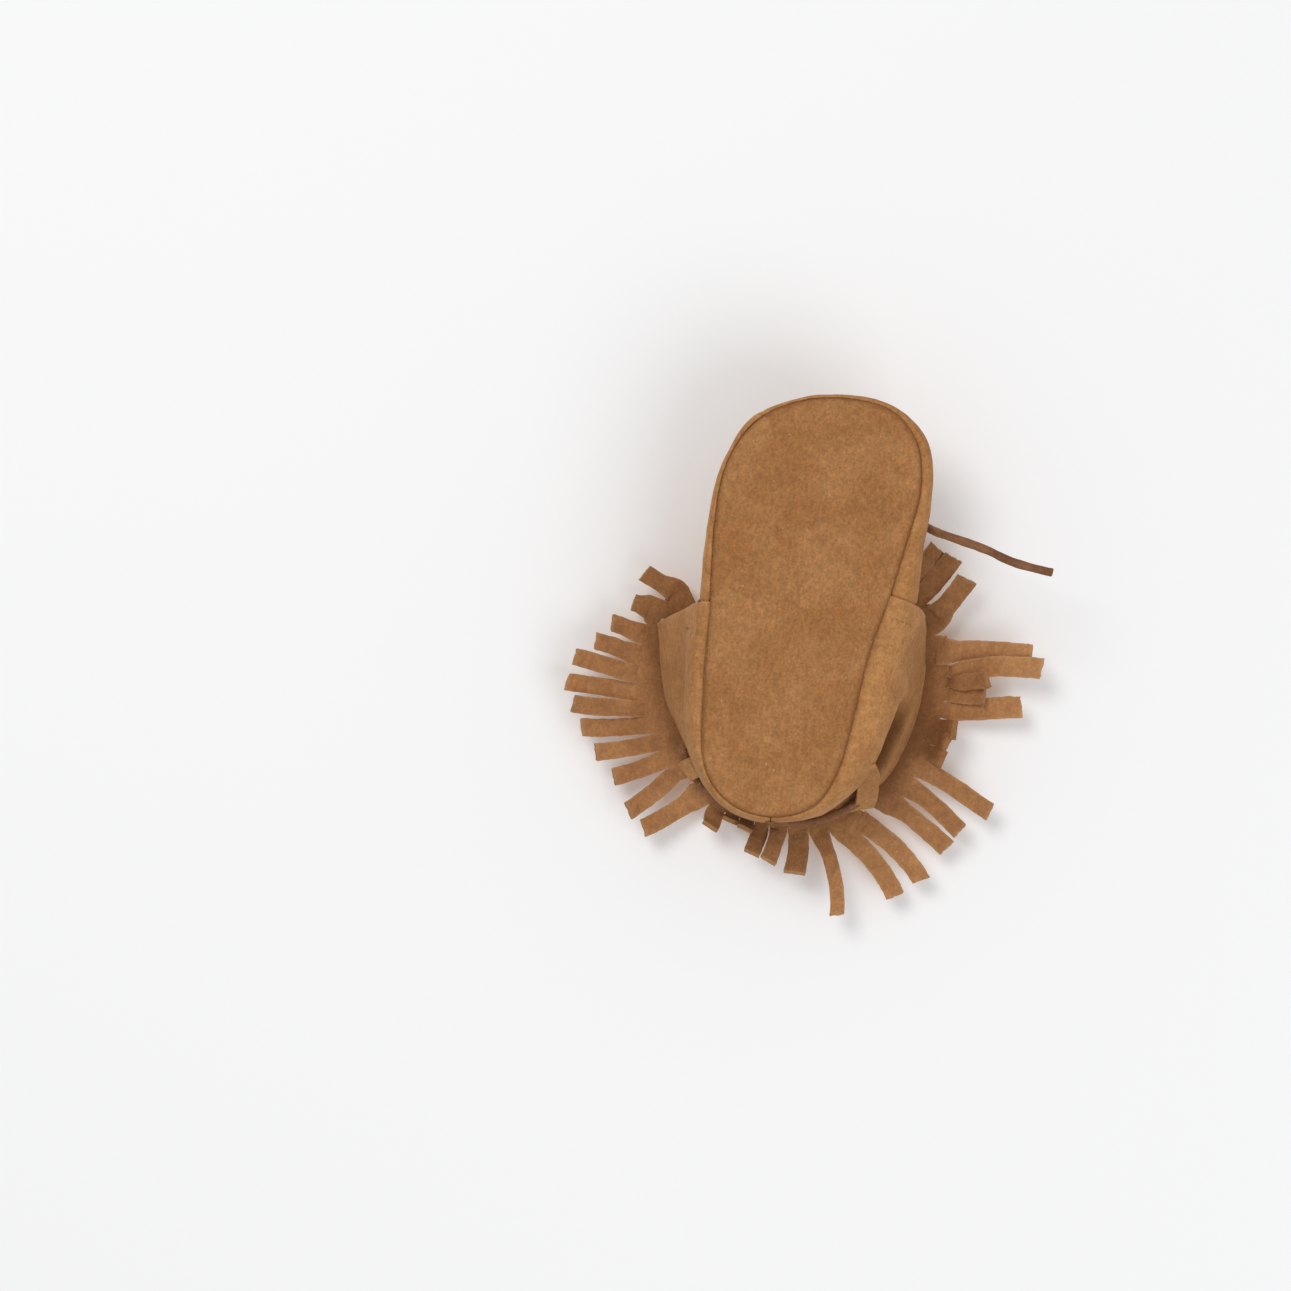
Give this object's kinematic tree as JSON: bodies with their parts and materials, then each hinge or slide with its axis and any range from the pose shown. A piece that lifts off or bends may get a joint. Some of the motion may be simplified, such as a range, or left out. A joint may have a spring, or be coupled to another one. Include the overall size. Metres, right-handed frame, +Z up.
{
  "type": "fringed moccasin",
  "caption": "Soft-soled suede baby moccasin for the right foot, with a fringed collar, a tongue and a leather lace tied at the front.",
  "frame": {"origin": "on the ground under the middle of the outsole", "axes": "+Z up through the foot opening, -Y towards the toe, +X towards the inner (big toe) side of a right foot"},
  "size_m": [0.131, 0.1437, 0.0424],
  "materials": {
    "sole_suede": "camel suede with a short nap, slightly mottled and worn",
    "upper_suede": "camel suede with a short nap",
    "fringe_suede": "camel suede cut in strips, with raw edges",
    "lace_leather": "darker brown suede lace",
    "lining_suede": "smooth pale suede lining",
    "foam": "pale foam padding",
    "thread": "dark brown twisted sewing thread"
  },
  "bodies": {
    "shoe": {"outsole": "sole_suede", "midsole_pad": "foam", "insole": "lining_suede", "toe_wall": "upper_suede", "apron": "upper_suede", "quarter_medial": "upper_suede", "quarter_lateral": "upper_suede", "rear_loop_medial": "upper_suede", "rear_loop_lateral": "upper_suede", "lace_band": "lace_leather", "lace_knot": "lace_leather", "lace_tail_medial": "lace_leather", "lace_tail_lateral": "lace_leather", "sole_stitch": "thread", "apron_stitch": "thread", "side_stitch_medial": "thread", "side_stitch_lateral": "thread", "heel_stitch": "thread"},
    "tongue_flap": {"tongue": "upper_suede", "tongue_stitch": "thread"},
    "medial_flap": {"fringe_medial": "fringe_suede", "fringe_stitch_medial": "thread"},
    "heel_flap": {"fringe_heel": "fringe_suede", "fringe_stitch_heel": "thread"},
    "lateral_flap": {"fringe_lateral": "fringe_suede", "fringe_stitch_lateral": "thread"}
  },
  "joints": [
    {"name": "tongue_fold", "type": "hinge", "parent": "shoe", "child": "tongue_flap", "pos_m": [0.0015, -0.0084, 0.0324], "axis": [1, 0, 0], "range_deg": [-6, 50], "stiffness_Nm_per_rad": 0.004},
    {"name": "medial_fringe_fold", "type": "hinge", "parent": "shoe", "child": "medial_flap", "pos_m": [0.03639, -0.00142, 0.03222], "axis": [0.2149, -0.9744, -0.0668], "range_deg": [-8, 40], "stiffness_Nm_per_rad": 0.004},
    {"name": "heel_fringe_fold", "type": "hinge", "parent": "shoe", "child": "heel_flap", "pos_m": [-0.01874, 0.05042, 0.03507], "axis": [0.999, 0.0404, 0.0184], "range_deg": [-6, 40], "stiffness_Nm_per_rad": 0.004},
    {"name": "lateral_fringe_fold", "type": "hinge", "parent": "shoe", "child": "lateral_flap", "pos_m": [-0.04095, 0.00376, 0.03201], "axis": [0.4148, 0.908, 0.0589], "range_deg": [-8, 40], "stiffness_Nm_per_rad": 0.004}
  ]
}
